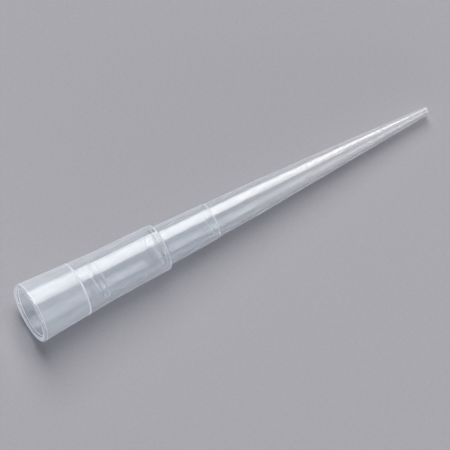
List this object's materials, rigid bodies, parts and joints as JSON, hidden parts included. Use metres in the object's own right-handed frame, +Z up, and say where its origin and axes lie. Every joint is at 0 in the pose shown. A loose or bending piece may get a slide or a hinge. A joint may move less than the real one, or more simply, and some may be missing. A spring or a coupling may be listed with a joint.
{
  "type": "pipette tip",
  "caption": "Clear plastic pipette tip lying on its side: wide hollow collar, stepped body and a long cone tapering to a fine open end.",
  "frame": {"origin": "under the middle of the tip's bounding box, at the height of the surface that it lies on", "axes": "+X from the wide mouth to the narrow end, +Z up; the tip's own axis falls by a little under three degrees towards +X, because it rests on the mouth's edge and on the shoulder's edge"},
  "size_m": [0.0532, 0.0072, 0.0072],
  "materials": {
    "clear_plastic": "gloss, natural translucent"
  },
  "bodies": {
    "root": {"pipette_tip": "clear_plastic"}
  },
  "joints": []
}
